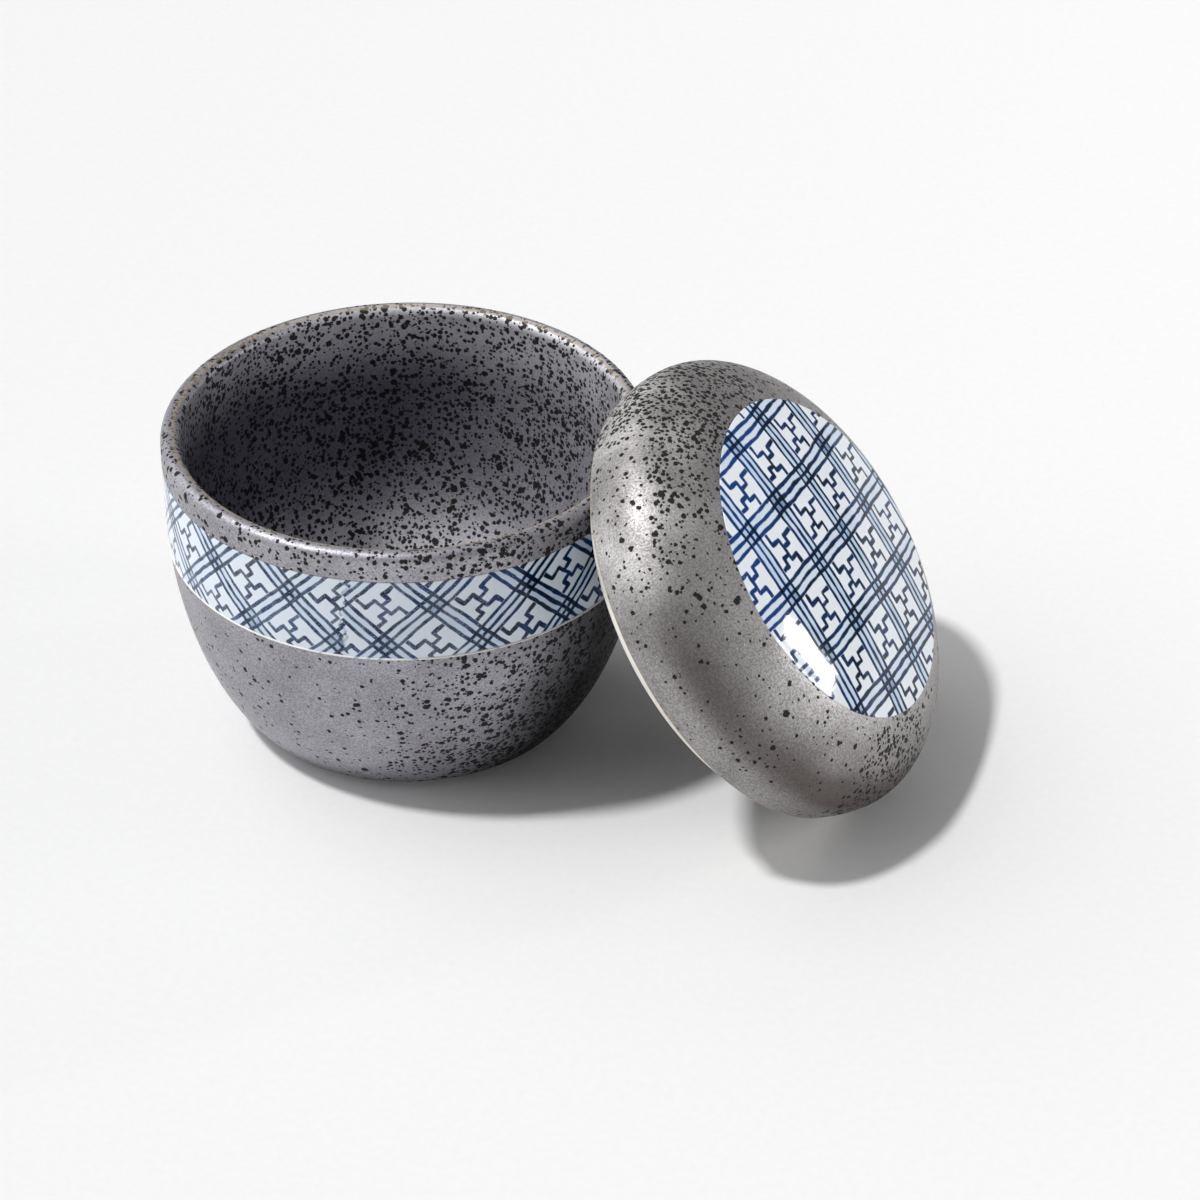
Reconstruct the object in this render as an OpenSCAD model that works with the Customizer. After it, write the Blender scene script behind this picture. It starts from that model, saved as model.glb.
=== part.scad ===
/* [Cup] */
// Outer diameter at the rim
cup_d = 90; // [80:1:110]
// Height from the table to the top of the lip
cup_h = 60; // [52:1:80]
// Height of the upright wall, from the top of the lip down to the belly
upright_h = 13.3; // [9:0.1:20]
// How far the belly draws in between the upright wall and the table
belly_in = 14.1; // [10:0.1:18]
// Half width of the oval that the belly follows
belly_w = 26; // [22:0.5:32]
// Thickness of the upright wall and its rounded lip
lip_t = 3.6; // [3:0.1:5]
// Thickness of the floor above the hollow of the foot
floor_t = 3; // [2.5:0.1:6]

/* [Foot] */
// Height of the foot ring below the belly
foot_h = 1; // [0.8:0.1:3]
// Rounding of the ring's two lower corners
foot_round = 0.5; // [0.2:0.1:0.7]
// How far the foot ring stands in from the belly's lower edge
foot_inset = 1.2; // [0.5:0.1:3]
// Width of the ring that rests on the table
foot_w = 4.5; // [3:0.1:7]
// Depth of the hollow inside the foot ring
foot_hollow = 2; // [1:0.1:3]

/* [Patterned band] */
// Distance from the top of the lip down to the band
band_drop = 5.4; // [4:0.1:8]
// Height of the band on the wall
band_w = 17.1; // [10:0.1:24]
// Thickness of the band's porcelain coat
band_t = 0.6; // [0.4:0.1:1]

/* [Lid] */
// How far the lid's widest line stands inside the cup's rim
lid_inset = 0.85; // [0.4:0.05:1.2]
// How far the lid draws in from its widest line to its edge
edge_tuck = 0.85; // [0.5:0.05:1.2]
// Rounding of the lid's edge
edge_r = 0.6; // [0.3:0.1:0.8]
// Height of the widest line above the seat
bulge_h = 6.4; // [5:0.1:9]
// Half width of the oval that the lid's shoulder follows
shoulder_w = 39.7; // [36:0.1:40]
// Height of the shoulder's oval above the widest line
shoulder_h = 18.8; // [16:0.1:24]
// Thickness of the lid's crown under the medallion
crown_t = 4.2; // [3:0.1:6]
// Half width of the oval that rounds the lid's hollow into its ceiling
hollow_w = 20; // [14:0.5:26]
// Height of the hollow's straight side above the seat
hollow_side = 4.5; // [2:0.1:6]

/* [Collar] */
// Clearance all round between the lid's collar and the cup's mouth
collar_gap = 1.2; // [0.6:0.1:2]
// Thickness of the collar
collar_t = 3.2; // [2.6:0.1:4]
// Depth of the collar below the seat
collar_h = 3.2; // [2.6:0.1:5]

/* [Medallion] */
// Diameter of the medallion on the lid
medal_d = 62.5; // [50:0.5:66]
// Height of its dome
dome_h = 2.5; // [1:0.1:4]
// Thickness of its porcelain coat
medal_t = 0.8; // [0.5:0.1:1.2]
// How far its edge stands above the shoulder
medal_rise = 0.2; // [0:0.05:0.4]

/* [Resting place of the lid] */
// Where the lid is: leaning on the cup's side, or on the cup
lid_place = "leaning"; // [leaning, closed]
// How far the leaning lid is tipped from level, in degrees
lid_tip = 52.5; // [48:0.5:60]
// Gap where the leaning lid's collar meets the cup's lip
rest_gap = 0.3; // [0.1:0.05:0.5]
// Gap between the lid's seat and the lip when closed
seat_gap = 0.05; // [0.02:0.01:0.2]

/* [Hidden] */
$fn = 96;
glaze = "#8f8488";
porcelain = "#e9ecef";

// Cup: the wall's heights and radii
cup_r = cup_d / 2;
lip_r = lip_t / 2;
lip_c = [cup_r - lip_r, cup_h - lip_r];
mouth_r = cup_r - lip_t;
belly_z = cup_h - upright_h;
belly_c = cup_r - belly_w;
belly_rz = belly_z / sqrt(1 - pow(1 - belly_in / belly_w, 2));
floor_z = foot_hollow + floor_t;
foot_r = wall_r(foot_h) - foot_inset;
band_top = cup_h - band_drop;
band_low = band_top - band_w;

// Lid: radii and heights above its seat
lid_r = cup_r - lid_inset;
edge_out = lid_r - edge_tuck;
flank_dz = bulge_h - edge_r;
flank_r = (flank_dz * flank_dz + edge_tuck * edge_tuck) / (2 * edge_tuck);
medal_r = medal_d / 2;
shoulder_c = lid_r - shoulder_w;
medal_a = acos((medal_r - shoulder_c) / shoulder_w);
medal_z = bulge_h + shoulder_h * sin(medal_a) + medal_rise;
ceiling_z = medal_z + dome_h - medal_t - crown_t;
tip_r = collar_t / 2;
tip_c = [mouth_r - collar_gap - tip_r, tip_r - collar_h];

// Leaning lid: its lowest point is on the table and its collar is at the lip
edge_reach = (edge_out - edge_r) * sin(lid_tip) - edge_r * cos(lid_tip) + edge_r;
tip_reach = tip_c.x * sin(lid_tip) - tip_c.y * cos(lid_tip) + tip_r;
lean_z = max(edge_reach, tip_reach);
lean_x = lean_place(cup_r, cup_r + lid_r, 24);

// Points along an oval about c, from angle a0 to a1
function oval(c, rx, rz, a0, a1, steps) =
    [for (i = [0:steps]) let (a = a0 + (a1 - a0) * i / steps) c + [rx * cos(a), rz * sin(a)]];

// Angle on the belly's oval at height z
function belly_a(z) = -asin(max(0, belly_z - z) / belly_rz);

// Outer radius of the wall at height z
function wall_r(z) = belly_c + belly_w * cos(belly_a(z));

// The wall's outer line between two heights, moved in by inset
function wall_line(z0, z1, inset) =
    z0 >= belly_z ? [[cup_r - inset, z0], [cup_r - inset, z1]]
    : concat(oval([belly_c - inset, belly_z], belly_w, belly_rz, belly_a(z0), belly_a(z1), 16),
        z1 > belly_z ? [[cup_r - inset, z1]] : []);

// A spherical cap from its edge at radius r and height z up to the axis
function cap(r, z, rise) =
    let (ball = (r * r + rise * rise) / (2 * rise), a = acos(r / ball))
    oval([0, z + rise - ball], ball, ball, a, 90, 12);

// A point of the cup's lip circle, seen in the leaning lid as radius and height
function lip_in_lid(x, a) =
    let (dx = lip_c.x * cos(a) - x, dz = lip_c.y - lean_z)
    [norm([dx * cos(lid_tip) - dz * sin(lid_tip), lip_c.x * sin(a)]), dx * sin(lid_tip) + dz * cos(lid_tip)];

// Smallest gap between the collar's tip and the lip, with the lid at x
function lean_gap(x) = min([for (a = [0:1:60]) norm(lip_in_lid(x, a) - tip_c)]) - lip_r - tip_r;

// Place of the leaning lid, by halving
function lean_place(near, far, steps) =
    let (middle = (near + far) / 2)
    steps == 0 ? middle
    : lean_gap(middle) > rest_gap ? lean_place(near, middle, steps - 1)
    : lean_place(middle, far, steps - 1);

function cup_outline() = concat(
    [[0, foot_hollow], [foot_r - foot_w, foot_hollow]],
    oval([foot_r - foot_w + foot_round, foot_round], foot_round, foot_round, 180, 270, 4),
    oval([foot_r - foot_round, foot_round], foot_round, foot_round, 270, 360, 4),
    [[foot_r, foot_h]],
    wall_line(foot_h, band_low, 0),
    wall_line(band_low, band_top, band_t),
    [[cup_r, band_top]],
    oval(lip_c, lip_r, lip_r, 0, 180, 12),
    oval([belly_c, belly_z], belly_w - lip_t, belly_z - floor_z, 0, -90, 24),
    [[0, floor_z]]);

function band_outline() = concat(
    wall_line(band_low, band_top, 0),
    [for (i = [len(wall_line(band_low, band_top, 0)) - 1:-1:0]) wall_line(band_low, band_top, band_t)[i]]);

function hollow_outline() = concat(
    [[0, ceiling_z]],
    oval([tip_c.x - tip_r - hollow_w, hollow_side], hollow_w, ceiling_z - hollow_side, 90, 0, 20));

function lid_outline() = concat(
    hollow_outline(),
    oval(tip_c, tip_r, tip_r, 180, 360, 12),
    [[tip_c.x + tip_r, 0]],
    oval([edge_out - edge_r, edge_r], edge_r, edge_r, -90, 0, 6),
    oval([lid_r - flank_r, bulge_h], flank_r, flank_r, -asin(flank_dz / flank_r) * 5 / 6, 0, 5),
    [for (p = oval([shoulder_c, bulge_h], shoulder_w, shoulder_h, 0, medal_a, 20)) if (p.y > bulge_h) p],
    cap(medal_r, medal_z - medal_t, dome_h));

function medallion_outline() = concat(
    cap(medal_r, medal_z, dome_h),
    [for (i = [12:-1:0]) cap(medal_r, medal_z - medal_t, dome_h)[i]]);

// Puts the lid's pieces where lid_place says
module lid_at_rest() {
    if (lid_place == "closed")
        translate([0, 0, cup_h + seat_gap]) children();
    else
        translate([lean_x, 0, lean_z]) rotate([0, lid_tip, 0]) children();
}

module cup() {
    color(glaze) rotate_extrude() polygon(cup_outline());
}

module cup_band() {
    color(porcelain) rotate_extrude() polygon(band_outline());
}

module lid() {
    color(glaze) lid_at_rest() rotate_extrude() polygon(lid_outline());
}

module lid_medallion() {
    color(porcelain) lid_at_rest() rotate_extrude() polygon(medallion_outline());
}

cup();
cup_band();
lid();
lid_medallion();
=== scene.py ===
import math
import bpy
import numpy as np
from mathutils import Matrix, Vector


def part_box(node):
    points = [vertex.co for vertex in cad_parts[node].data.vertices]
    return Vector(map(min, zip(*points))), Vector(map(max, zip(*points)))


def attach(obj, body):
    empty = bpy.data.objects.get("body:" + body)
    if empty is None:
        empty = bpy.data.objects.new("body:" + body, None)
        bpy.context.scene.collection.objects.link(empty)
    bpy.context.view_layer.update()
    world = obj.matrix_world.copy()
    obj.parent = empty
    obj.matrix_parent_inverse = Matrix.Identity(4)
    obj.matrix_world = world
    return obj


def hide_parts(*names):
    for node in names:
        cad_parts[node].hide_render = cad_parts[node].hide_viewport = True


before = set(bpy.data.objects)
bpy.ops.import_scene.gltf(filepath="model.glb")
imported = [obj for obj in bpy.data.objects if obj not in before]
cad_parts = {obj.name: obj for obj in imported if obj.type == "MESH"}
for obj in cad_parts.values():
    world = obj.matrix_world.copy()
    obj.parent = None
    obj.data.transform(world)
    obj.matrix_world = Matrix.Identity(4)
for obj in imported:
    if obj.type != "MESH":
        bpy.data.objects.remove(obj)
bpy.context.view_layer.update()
mm = 0.001
print("frame loaded")


# wraps one node socket, so shader maths reads as arithmetic
class Wire:
    def __init__(self, tree, out=None):
        self.tree = tree
        self.out = out

    # any node: its type, its settings, then the values or wires of its sockets
    def node(self, kind, settings=None, sockets=None, pick=0):
        made = self.tree.nodes.new("ShaderNode" + kind)
        for key, value in (settings or {}).items():
            setattr(made, key, value)
        for key, value in (sockets or {}).items():
            if isinstance(value, Wire):
                self.tree.links.new(value.out, made.inputs[key])
            else:
                made.inputs[key].default_value = value
        return Wire(self.tree, made.outputs[pick] if made.outputs else None)

    def math(self, operation, first, second=0.0):
        return self.node("Math", {"operation": operation}, {0: first, 1: second})

    def __add__(self, other):
        return self.math("ADD", self, other)

    def __radd__(self, other):
        return self.math("ADD", other, self)

    def __sub__(self, other):
        return self.math("SUBTRACT", self, other)

    def __rsub__(self, other):
        return self.math("SUBTRACT", other, self)

    def __mul__(self, other):
        return self.math("MULTIPLY", self, other)

    def __rmul__(self, other):
        return self.math("MULTIPLY", other, self)

    def __truediv__(self, other):
        return self.math("DIVIDE", self, other)

    def __abs__(self):
        return self.math("ABSOLUTE", self)

    def least(self, other):
        return self.math("MINIMUM", self, other)

    def most(self, other):
        return self.math("MAXIMUM", self, other)

    def part(self):
        return self.math("FRACT", self)

    # 0 below low, 1 above high, smooth between; low may be the larger
    def step(self, low, high):
        return self.node("MapRange", {"interpolation_type": "SMOOTHSTEP"},
                         {"Value": self, "From Min": low, "From Max": high})

    # a colour between two, with this wire as the share of the second; Mix has its colours at 6, 7 and 2
    def blend(self, first, second, mode="MIX"):
        return self.node("Mix", {"data_type": "RGBA", "blend_type": mode}, {0: self, 6: first, 7: second}, 2)

    def noise(self, size, detail=2.0, pick=0):
        sockets = {"Vector": self, "Scale": 1 / size, "Detail": detail}
        return self.node("TexNoise", {"noise_dimensions": "3D"}, sockets, pick)

    # shifts this wire unevenly over the surface, by up to half of reach either way
    def uneven(self, points, size, reach):
        return self + (points.noise(size) - 0.5) * reach

    # moves points about by coloured noise, to loosen drawn shapes; each amount is a size and a reach
    def loosened(self, *amounts):
        moved = self
        for size, reach in amounts:
            drift = moved.noise(size, 1.0, pick=1)
            centred = self.node("VectorMath", {"operation": "SUBTRACT"}, {0: drift, 1: (0.5, 0.5, 0.5)})
            scaled = self.node("VectorMath", {"operation": "SCALE"}, {0: centred, "Scale": 2 * reach})
            moved = self.node("VectorMath", {"operation": "ADD"}, {0: moved, 1: scaled})
        return moved

    def axes(self):
        return [self.node("SeparateXYZ", None, {0: self}, k) for k in range(3)]


# a colour written as 0 to 255 screen values
def tone(red, green, blue):
    return tuple((v / 12.92 if v <= 0.04045 else ((v + 0.055) / 1.055) ** 2.4)
                 for v in (red / 255, green / 255, blue / 255)) + (1.0,)


# points in millimetres on the piece, in its own upright frame
def ownPoints(start, tip=0.0, place=(0, 0, 0)):
    seen = start.node("TexCoord", None, None, 3)
    upright = start.node("Mapping", {"vector_type": "TEXTURE"},
                         {"Vector": seen, "Location": place, "Rotation": (0, tip, 0)})
    return start.node("VectorMath", {"operation": "SCALE"}, {0: upright, "Scale": 1 / mm})


def newMaterial(name):
    made = bpy.data.materials.new(name)
    made.use_nodes = True
    made.node_tree.nodes.clear()
    return made, Wire(made.node_tree)


def finishMaterial(start, settings):
    shader = start.node("BsdfPrincipled", None, settings)
    start.node("OutputMaterial", None, {"Surface": shader})


def bumped(start, height, strength, high):
    return start.node("Bump", None, {"Strength": strength, "Distance": high * mm, "Height": height})


# a steady part, and the part that a mask adds
def withMask(parts, mask):
    return parts[0] + mask * parts[1]


# how far a point lies in one direction across the piece
def towards(x, y, direction):
    return x * direction[0] + y * direction[1]


# points along an oval, from one angle to another in degrees
def oval(centre, wide, high, fromDeg, toDeg, steps):
    turn = np.radians(np.linspace(fromDeg, toDeg, steps + 1))
    return [(centre[0] + wide * math.cos(a), centre[1] + high * math.sin(a)) for a in turn]


def straight(first, last, steps):
    return [(first[0] + (last[0] - first[0]) * k / steps, first[1] + (last[1] - first[1]) * k / steps)
            for k in range(steps + 1)]


# waves make the wall uneven: how many go round, where they start, their share
lathe = {"turns": 256, "sharpDeg": 38, "apart": 0.004, "axis": 0.003, "placeTurns": 720, "outOfRound": 0.0009,
         "waves": ((2, 0.7, 0.6), (3, 2.1, 0.4))}


# turns an outline of (radius, height) in millimetres about the upright axis
def turned(name, outline, closed=False, tip=0.0, place=(0, 0, 0)):
    kept = [p for k, p in enumerate(outline) if k == 0 or math.dist(p, outline[k - 1]) > lathe["apart"]]
    angle = np.linspace(0, 2 * math.pi, lathe["turns"], endpoint=False)
    waves = sum(share * np.cos(count * angle + start) for count, start, share in lathe["waves"])
    wobble = 1 - lathe["outOfRound"] * (1 + waves) / 2
    verts, rings = [], []
    for radius, height in kept:
        if radius < lathe["axis"]:
            rings.append([len(verts)] * lathe["turns"])
            verts.append((0, 0, height * mm))
            continue
        rings.append(list(range(len(verts), len(verts) + lathe["turns"])))
        across = radius * wobble * mm
        verts += list(zip(across * np.cos(angle), across * np.sin(angle), np.full_like(angle, height * mm)))
    faces = []
    for k in range(len(rings) if closed else len(rings) - 1):
        low, high = rings[k], rings[(k + 1) % len(rings)]
        for i in range(lathe["turns"]):
            j = (i + 1) % lathe["turns"]
            corners = list(dict.fromkeys((low[i], low[j], high[j], high[i])))
            if len(corners) > 2:
                faces.append(corners)
    mesh = bpy.data.meshes.new(name)
    mesh.from_pydata(verts, [], faces)
    mesh.transform(Matrix.Translation(place) @ Matrix.Rotation(tip, 4, "Y"))
    mesh.validate()
    mesh.shade_smooth()
    mesh.set_sharp_from_angle(angle=math.radians(lathe["sharpDeg"]))
    made = bpy.data.objects.new(name, mesh)
    bpy.context.scene.collection.objects.link(made)
    return made


def dress(piece, body, node, material):
    piece.data.materials.append(material)
    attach(piece, body)
    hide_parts(node)
    print(piece.name, "made,", len(piece.data.polygons), "faces")


# cup, in millimetres; its rim and height come from the frame
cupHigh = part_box("cup")[1]
bandLow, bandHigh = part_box("cup_band")
cup = {
    "rim": cupHigh.x / mm, "high": cupHigh.z / mm, "upright": 13.3, "bellyIn": 14.1, "bellyWide": 26,
    "lip": 3.6, "floor": 5, "footHigh": 1, "footInset": 1.2, "footWide": 4.5,
    "footHollow": 2, "footRound": 0.5, "footEase": 0.3, "hollowRound": 1.2,
    "bandLow": bandLow.z / mm, "bandTop": bandHigh.z / mm, "bandThick": 0.6}
cup["bellyTop"] = cup["high"] - cup["upright"]
cup["bellyHigh"] = cup["bellyTop"] / math.sqrt(1 - (1 - cup["bellyIn"] / cup["bellyWide"]) ** 2)
cup["bellyCentre"] = cup["rim"] - cup["bellyWide"]


def bellyDeg(height):
    return -math.degrees(math.asin(max(0, cup["bellyTop"] - height) / cup["bellyHigh"]))


# the cup's outer line between two heights, moved in by inset
def cupWall(low, high, inset=0.0, steps=40):
    line = []
    if low < cup["bellyTop"]:
        line += oval((cup["bellyCentre"] - inset, cup["bellyTop"]), cup["bellyWide"], cup["bellyHigh"],
                     bellyDeg(low), bellyDeg(min(high, cup["bellyTop"])), steps)
    if high > cup["bellyTop"]:
        line += straight((cup["rim"] - inset, max(low, cup["bellyTop"])), (cup["rim"] - inset, high), 8)
    return line


def makeCup():
    lipRound = cup["lip"] / 2
    footOut = cupWall(cup["footHigh"], cup["footHigh"] + 1)[0][0] - cup["footInset"]
    footIn = footOut - cup["footWide"]
    corner, hollow = cup["footRound"], cup["hollowRound"]
    outline = [(0, cup["footHollow"]), (footIn - hollow, cup["footHollow"])]
    outline += oval((footIn - hollow, cup["footHollow"] - hollow), hollow, hollow, 90, 0, 6)
    outline += oval((footIn + corner, corner), corner, corner, 180, 270, 6)
    outline += oval((footOut - corner, corner), corner, corner, 270, 360, 6)
    outline += [(footOut, cup["footHigh"] - cup["footEase"])]
    outline += cupWall(cup["footHigh"], cup["bandLow"])
    outline += cupWall(cup["bandLow"], cup["bandTop"], cup["bandThick"])
    outline += cupWall(cup["bandTop"], cup["high"] - lipRound)
    outline += oval((cup["rim"] - lipRound, cup["high"] - lipRound), lipRound, lipRound, 0, 180, 20)
    outline += oval((cup["bellyCentre"], cup["bellyTop"]), cup["bellyWide"] - cup["lip"],
                    cup["bellyTop"] - cup["floor"], 0, -90, 60)
    outline += straight(outline[-1], (0, cup["floor"]), 8)[1:]
    return turned("cupBody", outline)


# the band's coat, with a fine raised bead along its lower edge
band = {"bead": 0.18, "beadHigh": 0.4, "edgeRound": 0.18, "sunk": 0.04, "clear": 0.02}


def makeBand():
    low, top, sunk = cup["bandLow"], cup["bandTop"], band["sunk"]
    face = cupWall(low + band["beadHigh"], top - band["edgeRound"], sunk)
    lowRadius = cupWall(low, low + 1)[0][0]
    beadMiddle = (lowRadius - sunk, low + band["beadHigh"] / 2)
    bead = oval(beadMiddle, band["bead"], band["beadHigh"] / 2, -90, 90, 8)
    rounding = oval((cup["rim"] - sunk - band["edgeRound"], top - band["edgeRound"]),
                    band["edgeRound"], band["edgeRound"], 0, 90, 4)
    back = cupWall(low, top, cup["bandThick"] - band["clear"])[::-1]
    return turned("cupBandCoat", bead + face[1:] + rounding + back, closed=True)


# lid, in millimetres above its own seat
lid = {
    "inset": 0.85, "tuck": 0.85, "edgeRound": 0.6, "bulge": 6.4, "shoulderWide": 39.7, "shoulderHigh": 18.8,
    "crown": 4.2, "hollowWide": 20, "hollowSide": 4.5,
    "collarGap": 1.2, "collarThick": 3.2, "collarHigh": 3.2, "tipDeg": 52.5,
    "medalWide": 62.5, "dome": 2.5, "medalThick": 0.8, "medalRise": 0.2, "medalSoft": 0.25, "clear": 0.02}
lid["wide"] = cup["rim"] - lid["inset"]
lid["edge"] = lid["wide"] - lid["tuck"]
lid["medal"] = lid["medalWide"] / 2
lid["shoulderCentre"] = lid["wide"] - lid["shoulderWide"]
lid["medalDeg"] = math.degrees(math.acos((lid["medal"] - lid["shoulderCentre"]) / lid["shoulderWide"]))
lid["medalHigh"] = lid["shoulderHigh"] * math.sin(math.radians(lid["medalDeg"]))
lid["medalHigh"] += lid["bulge"] + lid["medalRise"]
lid["ceiling"] = lid["medalHigh"] + lid["dome"] - lid["medalThick"] - lid["crown"]
lid["tip"] = math.radians(lid["tipDeg"])


def domeLine(edge, height, rise, steps=30):
    ball = (edge * edge + rise * rise) / (2 * rise)
    return oval((0, height + rise - ball), ball, ball, math.degrees(math.acos(edge / ball)), 90, steps)


def lidOutline():
    tipRound = lid["collarThick"] / 2
    collar = cup["rim"] - cup["lip"] - lid["collarGap"] - tipRound
    hollow = collar - tipRound
    rise = lid["bulge"] - lid["edgeRound"]
    flank = (rise ** 2 + lid["tuck"] ** 2) / (2 * lid["tuck"])
    outline = straight((0, lid["ceiling"]), (hollow - lid["hollowWide"], lid["ceiling"]), 6)
    outline += oval((hollow - lid["hollowWide"], lid["hollowSide"]), lid["hollowWide"],
                    lid["ceiling"] - lid["hollowSide"], 90, 0, 40)
    outline += oval((collar, tipRound - lid["collarHigh"]), tipRound, tipRound, 180, 360, 20)
    outline += [(collar + tipRound, 0)]
    corner = lid["edgeRound"]
    outline += oval((lid["edge"] - corner, corner), corner, corner, -90, 0, 8)
    outline += oval((lid["wide"] - flank, lid["bulge"]), flank, flank,
                    -math.degrees(math.asin(rise / flank)), 0, 16)
    outline += oval((lid["shoulderCentre"], lid["bulge"]), lid["shoulderWide"], lid["shoulderHigh"],
                    0, lid["medalDeg"], 60)
    return outline + domeLine(lid["medal"], lid["medalHigh"] - lid["medalThick"], lid["dome"])


# the lid leans as its solid does: the turned outline is moved until the two boxes share a middle
def leaningPlace():
    angle = np.linspace(0, 2 * math.pi, lathe["placeTurns"])
    radius, height = np.array(lidOutline()).T
    along = np.outer(radius, np.cos(angle)) * math.cos(lid["tip"]) + height[:, None] * math.sin(lid["tip"])
    upward = height[:, None] * math.cos(lid["tip"]) - np.outer(radius, np.cos(angle)) * math.sin(lid["tip"])
    low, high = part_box("lid")
    return Vector(((low.x + high.x - (along.min() + along.max()) * mm) / 2, 0,
                   (low.z + high.z - (upward.min() + upward.max()) * mm) / 2))


def makeLid(place):
    return turned("lidBody", lidOutline(), tip=lid["tip"], place=place)


# the medallion's coat: a gentle dome with a soft edge, just clear of its recess
def makeMedallion(place):
    edge, high, soft = lid["medal"] - lid["clear"], lid["medalHigh"] + lid["clear"], lid["medalSoft"]
    top = domeLine(edge - soft, high, lid["dome"])
    side = oval((edge - soft, high - soft), soft, soft, 0, 75, 5)
    under = domeLine(edge, high - lid["medalThick"], lid["dome"])[::-1]
    return turned("lidMedallionCoat", under + side + top, tip=lid["tip"], place=place)


# speckled glaze: a satin, half metallic grey with iron spots
# spots have a cell's size, the largest reach in it and a share of the crowd; bend and fray loosen them
glaze = {
    # the bright fleck tone is a painted glint
    "spot": tone(20, 18, 17), "glint": tone(240, 240, 242),
    "bare": tone(240, 237, 230), "tan": tone(166, 150, 128),
    "spotSizes": ((1.13, 0.455, 1.0), (0.74, 0.44, 0.62)), "largeSpots": (1.75, 0.44),
    "bend": (0.5, 0.2), "fray": (0.18, 0.05), "spotLeast": 0.6, "spotVary": 0.4, "spotSwell": 0.14,
    "spotEdge": (0.02, -0.08), "glintSize": 0.26, "glintShare": 0.03, "glintEdge": (0.42, 0.3),
    "cloud": 12, "grain": 0.4, "grainShade": 0.44, "spotCover": 0.97, "glintCover": 0.7,
    "metal": 0.75, "spotDull": 0.7, "lineDull": 0.6, "rough": 0.53, "grainRough": 0.3, "spotRough": 0.1,
    "grainHigh": 0.75, "spotDeep": 0.7, "cloudHigh": 0.3, "bump": 0.5, "bumpHigh": 0.12,
    "ior": 1.5, "specular": 0.25, "coatRough": 0.28}


# iron spots in cells of one size; amount is the share of cells that hold one
def spots(points, size, largest, amount):
    amounts = [(across * size, reach * size) for across, reach in (glaze["bend"], glaze["fray"])]
    cell = {"Vector": points.loosened(*amounts), "Scale": 1 / size}
    away = points.node("TexVoronoi", None, cell)
    lot = points.node("TexVoronoi", None, cell, 1)
    chance, share = [points.node("SeparateColor", None, {0: lot}, k) for k in range(2)]
    held = (chance + amount).step(0.98, 1.02)
    reach = held * (glaze["spotLeast"] + share * glaze["spotVary"] + amount * glaze["spotSwell"]) * largest
    return away.step(*[reach + soft for soft in glaze["spotEdge"]])


# painted glints: bright flecks in the colour, far smaller than the spots, stand in for sparkling highlights
def glintFlecks(points):
    cell = {"Vector": points, "Scale": 1 / glaze["glintSize"]}
    away = points.node("TexVoronoi", None, cell)
    lot = points.node("TexVoronoi", None, cell, 1)
    chance = points.node("SeparateColor", None, {0: lot})
    rare = 1 - glaze["glintShare"]
    return chance.step(rare, rare + 0.01) * away.step(*glaze["glintEdge"])


# colour, roughness, spots and height of the glaze; large is the share of large spots
def glazeParts(points, crowd, large, light, shade):
    cloud = points.noise(glaze["cloud"], 3)
    grain = points.noise(glaze["grain"], 3)
    spot = None
    for size, largest, share in (*glaze["spotSizes"], (*glaze["largeSpots"], large)):
        layer = spots(points, size, largest, crowd * share)
        spot = layer if spot is None else spot.most(layer)
    # painted glints: bright flecks painted into the colour
    glintFleck = glintFlecks(points) * (1 - spot)
    ground = cloud.step(0.2, 0.8).blend(shade, light)
    ground = (grain.step(0.42, 0.6) * glaze["grainShade"]).blend(ground, shade, "MULTIPLY")
    spotted = (spot * glaze["spotCover"]).blend(ground, glaze["spot"])
    colour = (glintFleck * glaze["glintCover"]).blend(spotted, glaze["glint"])
    rough = glaze["rough"] + (grain - 0.5) * glaze["grainRough"] + spot * glaze["spotRough"]
    height = grain * glaze["grainHigh"] - spot * glaze["spotDeep"] + cloud * glaze["cloudHigh"]
    return colour, rough, spot, height


def glazeEnd(start, colour, metal, rough, height, coat):
    finishMaterial(start, {
        "Base Color": colour, "Metallic": metal, "Roughness": rough, "IOR": glaze["ior"],
        "Normal": bumped(start, height, glaze["bump"], glaze["bumpHigh"]),
        "Specular IOR Level": glaze["specular"], "Coat Weight": coat, "Coat Roughness": glaze["coatRough"]})


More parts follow.
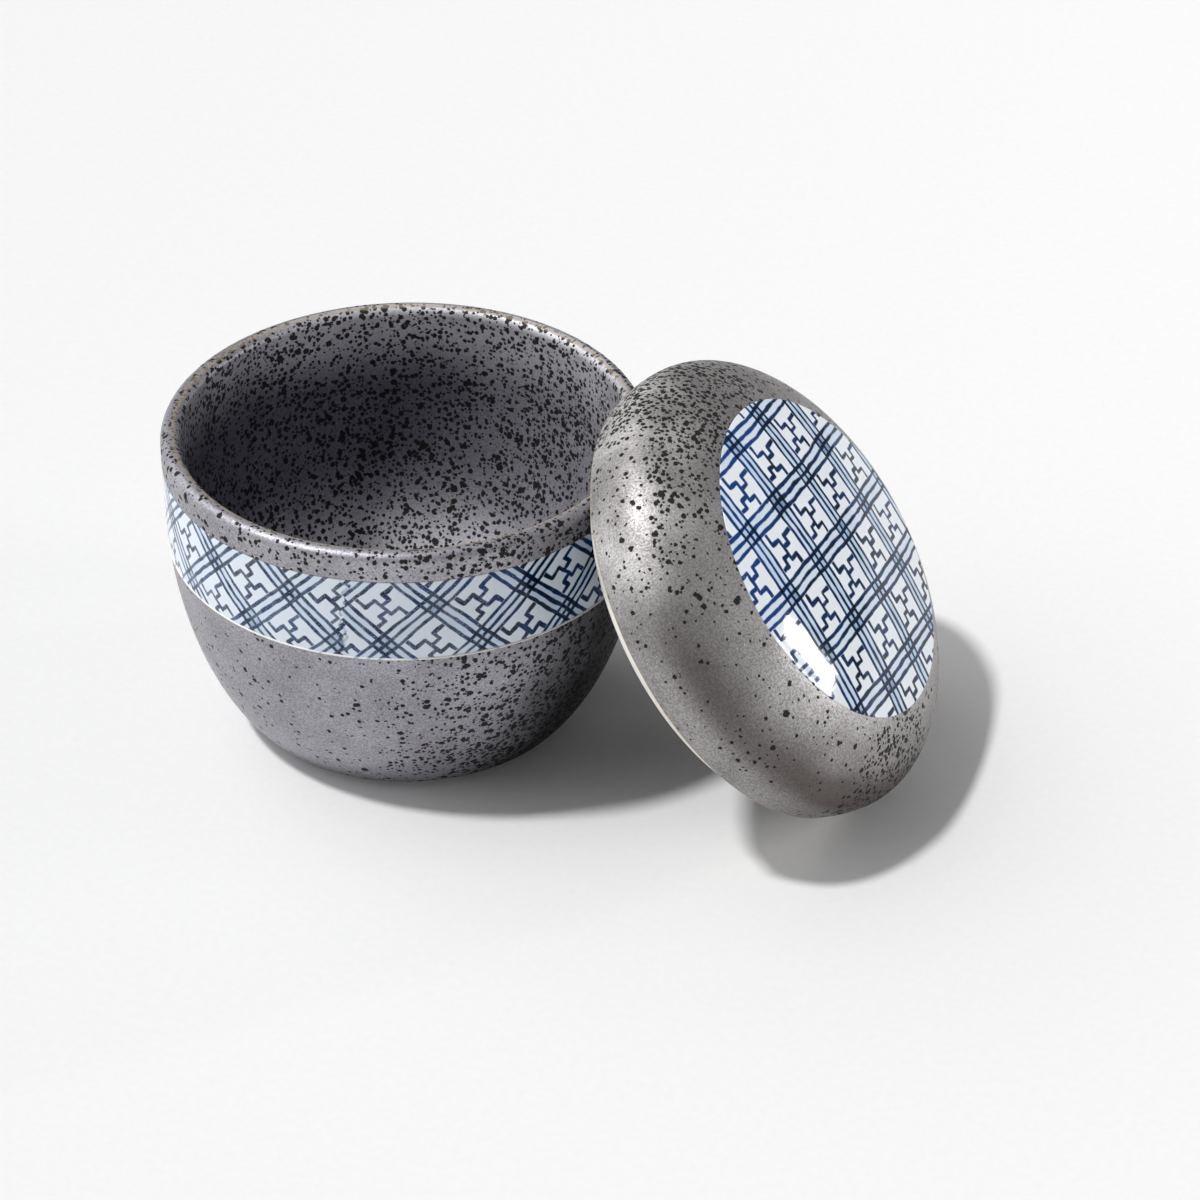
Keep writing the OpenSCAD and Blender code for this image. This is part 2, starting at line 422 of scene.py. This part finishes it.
# the cup's glaze: tones, crowds of spots, then zones in millimetres
# a side is from -1, away from the lid, to 1, towards it
cupPaint = {
    # the pale tones lighten the back and floor inside as painted light, and the collar towards the lid
    "light": tone(182, 181, 188), "shade": tone(158, 156, 163), "pale": tone(230, 229, 234),
    # the dark tone is painted shade from the lid; the deep tone is the painted shadow of the rim inside
    "paleShade": tone(204, 202, 208), "dark": tone(58, 55, 61), "deep": tone(150, 150, 162),
    "patch": 15, "large": 0.5, "sparse": (0.07, 0.1), "sideCrowd": (0.5, 0.4), "lowCrowd": 0.3,
    "collarCrowd": (0.1, 0.25), "insideCrowd": (0.7, 0.22),
    "sideDrift": (9, 0.2), "crowdSide": (0.14, 0.84), "lowSide": (0, 0.6), "lowHigh": (26, 8),
    "collarHigh": 1,
    # painted light inside the cup, at the back near the rim and on the floor
    "litBackFar": (14, 34), "litBackHigh": (42, 55), "litBackShare": 0.9, "litFloorHigh": (23, 12), "litFloorShare": 0.95,
    "collarSide": (-0.5, 0), "collarPale": 0.2,
    # painted shade outside towards the lid
    "lidShadeSide": (0.66, 0.99), "lidShadeLevel": 24, "lidShadeSlope": 0.005, "lidShadeHigh": (56, 50),
    "lidShadeShare": (0.4, 0.6), "lidShade": 0.97,
    # painted shadow of the rim inside the cup
    "rimShadowSide": (-0.95, 0.3), "rimShadowAway": (-4, 26), "rimShadowTop": (57, 42), "rimShadowLow": (15, 30),
    "lipDrift": (2.5, 0.5), "lipInner": 0.75, "lipOuter": 0.55, "lipSoft": (-0.2, 0.1),
    "lipHigh": (1.2, 0.5), "lipTan": 0.55,
    "footHigh": (0.7, 0.35), "footRough": 0.3, "insideDull": 0.3, "coat": 0.22}


def cupGlaze():
    made, start = newMaterial("cupGlaze")
    points = ownPoints(start)
    x, y, z = points.axes()
    radius = start.math("SQRT", x * x + y * y)
    across = (radius - cup["bellyCentre"]).most(0) / (cup["bellyWide"] - cup["lip"] / 2)
    below = (cup["bellyTop"] - z).most(0) / (cup["bellyTop"] - (cup["floor"] + cup["footHollow"]) / 2)
    inside = (across * across + below * below).step(1.02, 0.98)
    collar = z.step(cup["bandTop"] - cupPaint["collarHigh"], cup["bandTop"]) * (1 - inside)
    side = (x / radius).uneven(points, *cupPaint["sideDrift"])

    # where the spots crowd
    patch = points.noise(cupPaint["patch"]).step(0.3, 0.7)
    low = z.step(*cupPaint["lowHigh"]) * side.step(*cupPaint["lowSide"]) * cupPaint["lowCrowd"]
    outer = withMask(cupPaint["sparse"], patch) + low + collar * withMask(cupPaint["collarCrowd"], patch)
    outer = outer + side.step(*cupPaint["crowdSide"]) * withMask(cupPaint["sideCrowd"], patch)
    crowd = outer + inside * (withMask(cupPaint["insideCrowd"], patch) - outer)

    # painted light: paler inside at the back near the rim and on the floor, where the sun falls; the collar
    # is also paler towards the lid
    back = y.step(*cupPaint["litBackFar"]) * z.step(*cupPaint["litBackHigh"]) * cupPaint["litBackShare"]
    pale = inside * (back + z.step(*cupPaint["litFloorHigh"]) * cupPaint["litFloorShare"])
    pale = pale + collar * side.step(*cupPaint["collarSide"]) * cupPaint["collarPale"]
    light = pale.blend(cupPaint["light"], cupPaint["pale"])
    shade = pale.blend(cupPaint["shade"], cupPaint["paleShade"])
    colour, rough, spot, height = glazeParts(points, crowd, cupPaint["large"], light, shade)

    # painted shade: darker outside towards the lid and lower down, for the lid's shadow and its dark
    # reflection, and a painted shadow of the rim in a belt inside away from the lid
    lidShade = (side + (cupPaint["lidShadeLevel"] - z) * cupPaint["lidShadeSlope"]).step(*cupPaint["lidShadeSide"])
    lidShade = lidShade * (1 - inside) * withMask(cupPaint["lidShadeShare"], z.step(*cupPaint["lidShadeHigh"]))
    colour = (lidShade * cupPaint["lidShade"]).blend(colour, cupPaint["dark"], "MULTIPLY")
    # painted shadow: a darker belt inside, away from the lid, where the rim's shadow falls
    rimShadow = inside * towards(x, y, cupPaint["rimShadowSide"]).step(*cupPaint["rimShadowAway"])
    rimShadow = rimShadow * z.step(*cupPaint["rimShadowTop"]) * z.step(*cupPaint["rimShadowLow"])
    colour = rimShadow.blend(colour, cupPaint["deep"], "MULTIPLY")

    # a tan line along the lip, and a bare foot
    fromRim = (radius - cup["rim"]).uneven(points, *cupPaint["lipDrift"])
    before, after = cupPaint["lipSoft"]
    lip = (fromRim + cup["lip"] * cupPaint["lipInner"]).step(before, after)
    lip = lip * (fromRim + cup["lip"] * cupPaint["lipOuter"]).step(after, before)
    lip = lip * z.step(*[cup["high"] - drop for drop in cupPaint["lipHigh"]])
    colour = (lip * cupPaint["lipTan"]).blend(colour, glaze["tan"])
    foot = z.step(*cupPaint["footHigh"])
    colour = foot.blend(colour, glaze["bare"])

    metal = (glaze["metal"] - inside * cupPaint["insideDull"]) * (1 - spot * glaze["spotDull"])
    metal = metal * (1 - foot) * (1 - lip * glaze["lineDull"])
    coat = cupPaint["coat"] * (1 - foot) * (1 - spot)
    glazeEnd(start, colour, metal, rough + foot * cupPaint["footRough"], height, coat)
    return made


# the lid's glaze; x runs down the leaning lid, y to its far side and z up from its seat, in millimetres
lidPaint = {
    # the pale tone is a painted highlight for the sheen on the upper left flank
    "light": tone(182, 179, 179), "shade": tone(153, 150, 150), "pale": tone(232, 230, 228),
    # the dark brownish tone is painted shade and dark reflection
    "paintedShade": tone(85, 77, 74), "patch": 11, "large": 0.28,
    "sparse": (0.07, 0.09), "upperCrowd": (0.85, 0.2), "middleCrowd": (0.15, 0.2),
    "upperDrift": (9, 14), "upperFrom": (25, 38), "middleFrom": (-6, -20),
    "flankHigh": (14.5, 10.5), "flankNear": (5, 15), "flankClear": 0.9,
    "corner": (41, -17), "cornerDrift": (5, 160), "cornerFrom": (300, 60),
    # painted highlight on the upper left flank
    "sheenSide": (-0.92, -0.4), "sheenFrom": (32, 40), "sheenShare": 0.95,
    "aroundSide": (0.55, -0.85), "aroundDrift": (14, 16), "aroundFrom": (15, 37),
    "shoulderHigh": 10.6, "shoulderDrift": (12, 2), "shoulderWide": (6.5, 0.5), "shoulderShare": 0.72,
    # zones of the painted shade and dark reflection on the shoulder and low side
    "paintedShadeFrom": (12, 34), "paintedShadeHigh": (20.5, 17), "paintedShadeShare": 0.3, "paintedShadeMost": 0.85,
    "ridgeDrift": (4, 2), "ridgeWide": (2.2, -0.4), "ridgeHigh": (2, 8), "ridgeDeep": 0.12,
    "ridgeGloss": 0.1, "rings": 13, "ringSize": 2, "ringDrift": 9,
    "edgeDrift": (5, 0.25), "edgeHigh": (0.295, 0.135), "edgeRough": 0.2,
    "lineDrift": (5, 0.4), "lineHigh": (0.75, 0.35), "lineTan": 0.7,
    "bareDrift": (6, 10), "bareFrom": (-39, -17), "rough": 0.05, "coat": 0.1}


def lidGlaze(place):
    made, start = newMaterial("lidGlaze")
    points = ownPoints(start, lid["tip"], place)
    x, y, z = points.axes()
    radius = start.math("SQRT", x * x + y * y)

    # spots crowd at the top and in one low corner, and leave the near flank clear
    patch = points.noise(lidPaint["patch"]).step(0.34, 0.68)
    upper = (x * -1).uneven(points, *lidPaint["upperDrift"]).step(*lidPaint["upperFrom"])
    middle = x.step(*lidPaint["middleFrom"]) * (1 - upper)
    flank = z.step(*lidPaint["flankHigh"]) * (y * -1).step(*lidPaint["flankNear"])
    down, far = x - lidPaint["corner"][0], y - lidPaint["corner"][1]
    corner = (down * down + far * far).uneven(points, *lidPaint["cornerDrift"]).step(*lidPaint["cornerFrom"])
    crowded = upper * withMask(lidPaint["upperCrowd"], patch)
    crowded = crowded + middle * withMask(lidPaint["middleCrowd"], patch)
    crowd = withMask(lidPaint["sparse"], patch) + crowded * (1 - flank * lidPaint["flankClear"]) + corner

    # painted highlight: the upper left flank is paler, for the sheen of the light
    pale = towards(x, y, lidPaint["sheenSide"]).step(*lidPaint["sheenFrom"]) * lidPaint["sheenShare"]
    light = pale.blend(lidPaint["light"], lidPaint["pale"])
    colour, rough, spot, height = glazeParts(points, crowd, lidPaint["large"], light, lidPaint["shade"])

    # painted shade and dark reflection: a darker brownish belt round the shoulder and low down
    around = towards(x, y, lidPaint["aroundSide"]).uneven(points, *lidPaint["aroundDrift"])
    shoulder = abs((z - lidPaint["shoulderHigh"]).uneven(points, *lidPaint["shoulderDrift"]))
    shoulder = around.step(*lidPaint["aroundFrom"]) * shoulder.step(*lidPaint["shoulderWide"])
    low = x.step(*lidPaint["paintedShadeFrom"]) * z.step(*lidPaint["paintedShadeHigh"]) * lidPaint["paintedShadeShare"]
    paintedShade = (shoulder * lidPaint["shoulderShare"] + low).least(lidPaint["paintedShadeMost"]) * (1 - spot)
    colour = paintedShade.blend(colour, lidPaint["paintedShade"])

    # turning marks by the medallion, then a tan line above the bare seat
    ridge = (radius - lid["medal"]).uneven(points, *lidPaint["ridgeDrift"]).step(*lidPaint["ridgeWide"])
    ridge = ridge * (z - lid["bulge"]).step(*lidPaint["ridgeHigh"])
    ringPlace = radius * lidPaint["rings"] + points.noise(lidPaint["ringSize"]) * lidPaint["ringDrift"]
    height = height + ridge * start.math("SINE", ringPlace) * lidPaint["ridgeDeep"]
    edge = z.uneven(points, *lidPaint["edgeDrift"]).step(*lidPaint["edgeHigh"])
    line = z.uneven(points, *lidPaint["lineDrift"]).step(*lidPaint["lineHigh"]) * (1 - edge)
    colour = (line * lidPaint["lineTan"]).blend(colour, glaze["tan"])
    bare = edge * x.uneven(points, *lidPaint["bareDrift"]).step(*lidPaint["bareFrom"])
    colour = bare.blend(colour, glaze["bare"])

    metal = glaze["metal"] * (1 - spot * glaze["spotDull"]) * (1 - edge) * (1 - line * glaze["lineDull"])
    rough = rough + lidPaint["rough"] - ridge * lidPaint["ridgeGloss"] + edge * lidPaint["edgeRough"]
    glazeEnd(start, colour, metal, rough, height, lidPaint["coat"] * (1 - edge) * (1 - spot))
    return made


# the blue lattice, in millimetres: bundles of lines crossing, with a stepped key in each open square
lattice = {
    "step": 12.7, "spread": 1.68, "bundle": 2.1, "bundleEdge": (2.2, 1.95),
    "line": 0.4, "acrossLine": 0.92, "downLine": 0.88, "keyLine": 0.41, "soft": 0.12,
    "wash": tone(166, 199, 236), "cobalt": tone(16, 62, 128),
    "navy": tone(2, 30, 60), "dense": tone(2, 14, 32),
    "weightSize": 3, "bodySize": 5, "gritSize": 0.35, "swell": (0.45, 1.1), "overlap": 0.55,
    "washShare": (0.15, 0.75), "downWash": 0.65, "crossWash": 0.35, "halo": 0.5, "haloFrom": (0.4, 0.7),
    "bluer": 0.5, "bluerFrom": (0.6, 0.35), "weightInk": 0.35, "gritInk": 0.22, "gritFrom": (0.5, 0.75)}
keyLines = [  # x to the right and y down, across the open square
    [(0.16, -0.1), (0.16, 0.27), (0.44, 0.27), (0.44, 0.76), (0.69, 0.76), (0.69, 1.1)],
    [(-0.1, 0.82), (0.22, 0.82), (0.22, 0.64), (0.44, 0.64)],
    [(0.44, 0.46), (0.69, 0.46), (0.69, 0.27), (1.1, 0.27)]]


# distance in millimetres to the nearest line of one family of bundles, and the bundle's own share
def bundleLines(along):
    off = abs(((along + 0.5).part() - 0.5) * lattice["step"])
    near = off.least(abs(off - lattice["spread"]))
    return near, off.step(*lattice["bundleEdge"])


def keyDistance(across, down):
    wide = lattice["step"] - 2 * lattice["bundle"]
    x = across.part() * lattice["step"] - lattice["bundle"]
    y = down.part() * lattice["step"] - lattice["bundle"]
    nearest = None
    for line in keyLines:
        for (x0, y0), (x1, y1) in zip(line, line[1:]):
            over = (abs(x - wide * (x0 + x1) / 2) - wide * abs(x1 - x0) / 2).most(0)
            past = (abs(y - wide * (y0 + y1) / 2) - wide * abs(y1 - y0) / 2).most(0)
            gap = over * over + past * past
            nearest = gap if nearest is None else nearest.least(gap)
    return x.math("SQRT", nearest)


# colour of the porcelain under its drawn lattice, from lattice places counted in steps
# look has its white, how blue and deep the ink is, how heavy the lines are and how strong the wash is
def drawnColour(points, across, down, look, smudge=None):
    weight = points.noise(lattice["weightSize"], 1)
    body = points.noise(lattice["bodySize"])
    grit = points.noise(lattice["gritSize"], 1)
    swell = look["heavy"] * withMask(lattice["swell"], weight)
    line, keyLine, soft = lattice["line"] * swell, lattice["keyLine"] * swell, lattice["soft"]
    lineA, lineB = line * lattice["acrossLine"], line * lattice["downLine"]
    nearA, inA = bundleLines(across)
    nearB, inB = bundleLines(down)
    inkA = nearA.step(lineA + soft, lineA - soft) * inA
    inkB = nearB.step(lineB + soft, lineB - soft) * inB
    key = keyDistance(across, down).step(keyLine + soft, keyLine - soft) * (1 - inA) * (1 - inB)
    ink = inkA.most(inkB).most(key)
    if smudge is not None:
        ink = ink.most(smudge)
    crossing = (inkA * inB).most(inkB * inA) * lattice["overlap"]
    crossing = (inkA * inkB).most(crossing)
    wash = inA.most(inB * lattice["downWash"]) * withMask(lattice["washShare"], body)
    wash = (wash + inA * inB * lattice["crossWash"]).least(1)
    colour = (wash * look["washed"]).blend(look["white"], lattice["wash"])
    halo = inA * inB * body.step(*lattice["haloFrom"]) * lattice["halo"]
    colour = halo.blend(colour, lattice["cobalt"])
    blue = (body.step(*lattice["bluerFrom"]) * lattice["bluer"] + look["blue"]).least(1)
    pen = crossing.blend(blue.blend(lattice["navy"], lattice["cobalt"]), lattice["dense"])
    worn = grit.step(*lattice["gritFrom"]) * lattice["gritInk"]
    strength = (look["depth"] + weight * lattice["weightInk"] - worn).least(1)
    return (ink * strength).blend(colour, pen), ink


porcelain = {"pool": 9, "dimple": 1.6, "dimpleHigh": 0.15, "inkHigh": 0.1, "bump": 0.1, "bumpHigh": 0.1,
             "rough": (0.03, 0.04), "ior": 1.52, "specular": 0.2}


def porcelainEnd(start, points, colour, ink):
    pool = points.noise(porcelain["pool"])
    dimple = points.noise(porcelain["dimple"], 1)
    height = pool + dimple * porcelain["dimpleHigh"] + ink * porcelain["inkHigh"]
    finishMaterial(start, {
        "Base Color": colour, "Roughness": withMask(porcelain["rough"], pool), "IOR": porcelain["ior"],
        "Normal": bumped(start, height, porcelain["bump"], porcelain["bumpHigh"]),
        "Specular IOR Level": porcelain["specular"]})


# the lattice on the medallion is turned a little; node is a crossing, from the middle of the disc
medal = {
    "turnDeg": 7.5, "node": (5.25, 1.45), "step": 12.9, "white": tone(241, 247, 252),
    "loose": ((10, 0.5), (3.2, 0.16), (0.9, 0.04)), "blueSide": (-0.8, -0.6), "blueFrom": (14, 25),
    "heavy": (1.05, -0.2), "thinFar": (12, 30), "depth": 0.96, "washed": 1.0}


def medallionPorcelain(place):
    made, start = newMaterial("medallionPorcelain")
    points = ownPoints(start, lid["tip"], place)
    x, y = points.loosened(*medal["loose"]).axes()[:2]
    right, upward = y - medal["node"][0], x * -1 - medal["node"][1]
    c, s = math.cos(math.radians(medal["turnDeg"])), math.sin(math.radians(medal["turnDeg"]))
    across = (right * c - upward * s) / medal["step"]
    down = (right * -s - upward * c) / medal["step"]
    look = {"white": medal["white"], "depth": medal["depth"], "washed": medal["washed"],
            "blue": towards(x, y, medal["blueSide"]).step(*medal["blueFrom"]),
            "heavy": withMask(medal["heavy"], y.step(*medal["thinFar"]))}
    colour, ink = drawnColour(points, across, down, look)
    porcelainEnd(start, points, colour, ink)
    return made


# the band's lattice stands on its corner; two transfers meet at the joins, half a step out
bandDraw = {
    "nodeDeg": -75.2, "nodeHigh": 40.8, "around": 16, "white": tone(234, 244, 255),
    "loose": ((10, 0.45), (3.2, 0.18), (0.9, 0.05)), "heavyShadedSide": (20, 38),
    # towards the lid the ink deepens and the wash grows as painted shade, and the lines are heavier
    "heavy": (0.98, 0.18), "depth": (0.74, 0.21), "washed": (0.6, 0.2),
    "blue": 0.25, "blueSize": 12, "blueFrom": (0.4, 0.7),
    "joinDeg": (-84.5, 95.0), "joinDrift": (2.6, 0.16), "joinSoft": 0.0003, "joinShift": 0.5,
    "smudge": 0.5, "smudgeWide": (0.7, 0.1), "smudgeSize": 1.3, "smudgeFrom": (0.42, 0.6),
    "bareLine": tone(246, 245, 242), "bareHigh": (0.5, 0.38), "bareShare": (0.4, 0.6),
    "bareSize": 5, "bareFrom": (0.36, 0.44),
    "brownLine": tone(128, 106, 84), "brownDrift": (2.5, 0.3), "brownDrop": (0.27, 0.05), "brown": 0.8}


def bandPorcelain():
    made, start = newMaterial("bandPorcelain")
    points = ownPoints(start)
    x, y, z = points.loosened(*bandDraw["loose"]).axes()
    angle = start.math("ARCTAN2", y, x)

    # past the joins the pattern is shifted, and the ink is smudged along them
    ragged = angle.uneven(points, *bandDraw["joinDrift"])
    first, second = [math.radians(d) for d in bandDraw["joinDeg"]]
    soft = bandDraw["joinSoft"]
    shifted = 1 - ragged.step(first - soft, first + soft) * ragged.step(second + soft, second - soft)
    seam = abs(ragged - first).least(abs(ragged - second)) * cup["rim"]
    stain = points.noise(bandDraw["smudgeSize"]).step(*bandDraw["smudgeFrom"])
    smudge = seam.step(*bandDraw["smudgeWide"]) * stain * bandDraw["smudge"]

    along = angle / (2 * math.pi) * bandDraw["around"] - bandDraw["nodeDeg"] / 360 * bandDraw["around"]
    along = along + shifted * bandDraw["joinShift"]
    diagonal = 2 * math.pi * cup["rim"] / bandDraw["around"]
    rise = (z - bandDraw["nodeHigh"]) / diagonal
    heavyShadedSide = x.step(*bandDraw["heavyShadedSide"])
    # painted shade: deeper ink and stronger wash towards the lid, with heavier lines there
    look = {"white": bandDraw["white"],
            "blue": bandDraw["blue"] * points.noise(bandDraw["blueSize"], 1).step(*bandDraw["blueFrom"]),
            **{name: withMask(bandDraw[name], heavyShadedSide) for name in ("heavy", "depth", "washed")}}
    colour, ink = drawnColour(points, along + rise, along - rise, look, smudge)

    # a bare line at the lower edge, broken in places, and a brown one at the upper edge
    tall = points.axes()[2]
    whole = points.noise(bandDraw["bareSize"]).step(*bandDraw["bareFrom"])
    bare = tall.step(*[cup["bandLow"] + high for high in bandDraw["bareHigh"]])
    bare = bare * withMask(bandDraw["bareShare"], whole)
    colour = bare.blend(colour, bandDraw["bareLine"])
    brown = tall.uneven(points, *bandDraw["brownDrift"])
    brown = brown.step(*[cup["bandTop"] - drop for drop in bandDraw["brownDrop"]])
    colour = (brown * bandDraw["brown"]).blend(colour, bandDraw["brownLine"])
    porcelainEnd(start, points, colour, ink * (1 - bare))
    return made


place = leaningPlace()
dress(makeCup(), "cup", "cup", cupGlaze())
dress(makeBand(), "cup", "cup_band", bandPorcelain())
dress(makeLid(place), "lid", "lid", lidGlaze(place))
dress(makeMedallion(place), "lid", "lid_medallion", medallionPorcelain(place))

# floor and light: a sun and a broad panel from the left, a low fill and a strip from the right
studio = {
    "floor": tone(246, 246, 246), "weave": tone(240, 240, 240), "weaveSize": 1.5,
    "floorRough": 0.9, "floorWide": 6.0,
    "sun": 1.98, "sunSpreadDeg": 5, "sunFromDeg": 206.4, "sunHighDeg": 63,
    "skyLeft": 0.185, "skyRight": 0.215, "leftDeg": 170, "skyTurn": (-0.6, 0.9),
    "panel": 1.05, "panelDeg": (178, 33), "panelEdge": (0.6, 0.95),
    "fill": (0.35, 0.25), "fillPower": 4.6, "fillFrom": (1.338, 0.222, 0.219), "fillAt": (0.08, 0, 0.04),
    "strip": (0.04, 0.13), "stripPower": 1.1, "stripFrom": (0.802, 0.57, 0.164),
    "stripAt": (0.0852, -0.0264, 0.0431)}


def makeFloor():
    half = studio["floorWide"] / 2
    mesh = bpy.data.meshes.new("floor")
    corners = [(-half, -half, 0), (half, -half, 0), (half, half, 0), (-half, half, 0)]
    mesh.from_pydata(corners, [], [(0, 1, 2, 3)])
    floor = bpy.data.objects.new("floor", mesh)
    bpy.context.scene.collection.objects.link(floor)
    made, start = newMaterial("floorPaper")
    points = ownPoints(start)
    weave = points.noise(studio["weaveSize"]).blend(studio["floor"], studio["weave"])
    finishMaterial(start, {"Base Color": weave, "Roughness": studio["floorRough"], "Specular IOR Level": 0.0})
    mesh.materials.append(made)


# an even sky with a broad, soft panel at the left
def makeRoom():
    world = bpy.data.worlds.new("studio")
    bpy.context.scene.world = world
    world.use_nodes = True
    world.node_tree.nodes.clear()
    start = Wire(world.node_tree)
    x, y, z = start.node("TexCoord", None, None, 0).axes()
    turn = math.radians(studio["leftDeg"])
    left = towards(x, y, (math.cos(turn), math.sin(turn))).step(*studio["skyTurn"])
    level = studio["skyRight"] + left * (studio["skyLeft"] - studio["skyRight"])
    turn, high = [math.radians(d) for d in studio["panelDeg"]]
    facing = towards(x, y, (math.cos(turn), math.sin(turn))) * math.cos(high) + z * math.sin(high)
    level = level + facing.step(*studio["panelEdge"]) * studio["panel"]
    sky = start.node("Background", None, {"Color": (1, 1, 1, 1), "Strength": level})
    start.node("OutputWorld", None, {"Surface": sky})


def makeLamps():
    sun = bpy.data.objects.new("mainLight", bpy.data.lights.new("mainLight", "SUN"))
    sun.data.energy = studio["sun"]
    sun.data.angle = math.radians(studio["sunSpreadDeg"])
    turn, high = math.radians(studio["sunFromDeg"]), math.radians(studio["sunHighDeg"])
    toSun = Vector((math.cos(turn) * math.cos(high), math.sin(turn) * math.cos(high), math.sin(high)))
    sun.rotation_euler = toSun.to_track_quat("Z", "Y").to_euler()
    bpy.context.scene.collection.objects.link(sun)
    for name in ("fill", "strip"):
        lamp = bpy.data.objects.new(name + "Light", bpy.data.lights.new(name + "Light", "AREA"))
        lamp.data.shape = "RECTANGLE"
        lamp.data.size, lamp.data.size_y = studio[name]
        lamp.data.energy = studio[name + "Power"]
        lamp.location = studio[name + "From"]
        lamp.rotation_euler = (lamp.location - Vector(studio[name + "At"])).to_track_quat("Z", "Y").to_euler()
        bpy.context.scene.collection.objects.link(lamp)


# camera, from the outlines in the photograph
view = {"away": 0.82853, "aroundDeg": 20.59, "highDeg": 35.37, "headingDeg": 17.52, "downDeg": 34.25,
        "lens": 129, "sensor": 36, "near": 0.01}


def makeCamera():
    camera = bpy.data.objects.new("camera", bpy.data.cameras.new("camera"))
    around, high = math.radians(view["aroundDeg"]), math.radians(view["highDeg"])
    flat = view["away"] * math.cos(high)
    camera.location = (flat * math.sin(around), -flat * math.cos(around), view["away"] * math.sin(high))
    camera.rotation_euler = (math.radians(90 - view["downDeg"]), 0, math.radians(view["headingDeg"]))
    camera.data.lens = view["lens"]
    camera.data.sensor_width = view["sensor"]
    camera.data.clip_start = view["near"]
    bpy.context.scene.collection.objects.link(camera)
    bpy.context.scene.camera = camera
    bpy.context.scene.view_settings.view_transform = "Standard"


makeFloor()
makeRoom()
makeLamps()
makeCamera()
print("floor, light and camera made")
